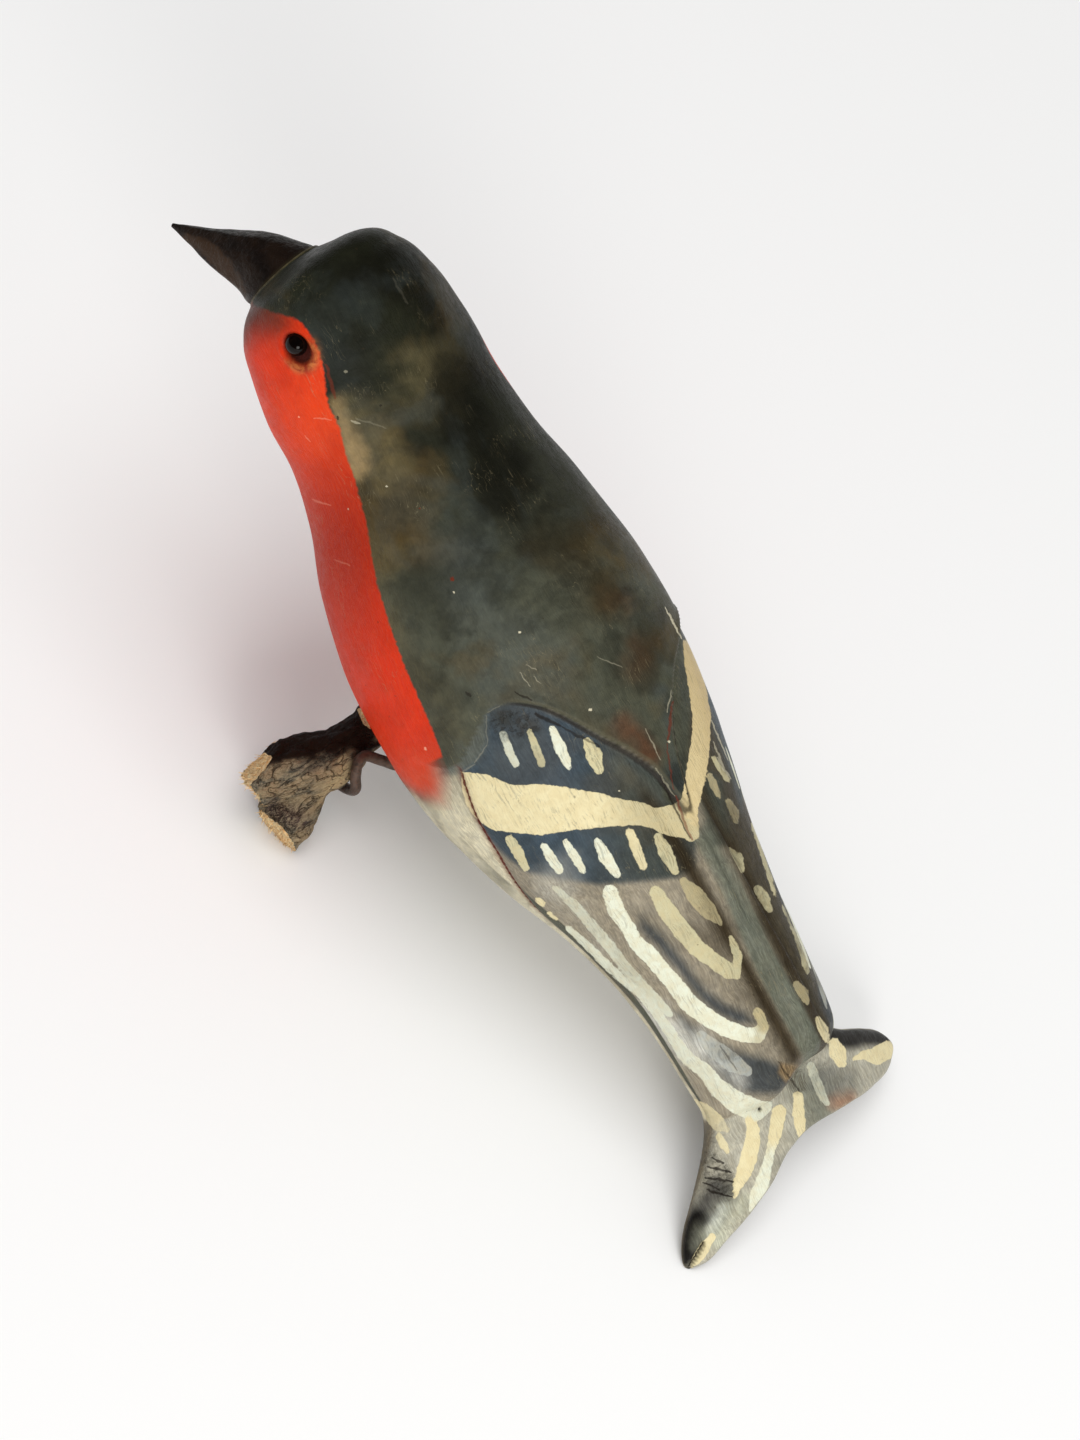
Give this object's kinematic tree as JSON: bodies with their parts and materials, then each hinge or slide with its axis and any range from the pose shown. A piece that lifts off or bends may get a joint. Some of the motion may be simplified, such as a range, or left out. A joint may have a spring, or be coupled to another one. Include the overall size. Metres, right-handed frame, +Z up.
{
  "type": "carved wooden bird",
  "caption": "Painted carved wooden songbird with glass eyes, pointed beak and fish-shaped tail, perched by bent wire legs on a piece of natural branch.",
  "frame": {"origin": "middle of the underside of the box, on the surface the bird stands on", "axes": "+Z up; the bird faces -Y with its tail toward +Y, and its left side is +X"},
  "size_m": [0.1094, 0.2266, 0.1149],
  "materials": {
    "painted_wood": "worn oil paint on carved wood: slate green back, vermilion throat and breast, cream bars on slate blue wings",
    "beak_paint": "satin near-black brown paint on wood",
    "eye_glass": "glossy black glass bead",
    "leg_wire": "dull brown-grey wire",
    "bark": "rough dark bark with pale cut ends"
  },
  "bodies": {
    "root": {"bird_body": "painted_wood", "beak": "beak_paint", "left_eye": "eye_glass", "right_eye": "eye_glass", "left_leg": "leg_wire", "right_leg": "leg_wire", "branch": "bark"}
  },
  "joints": []
}
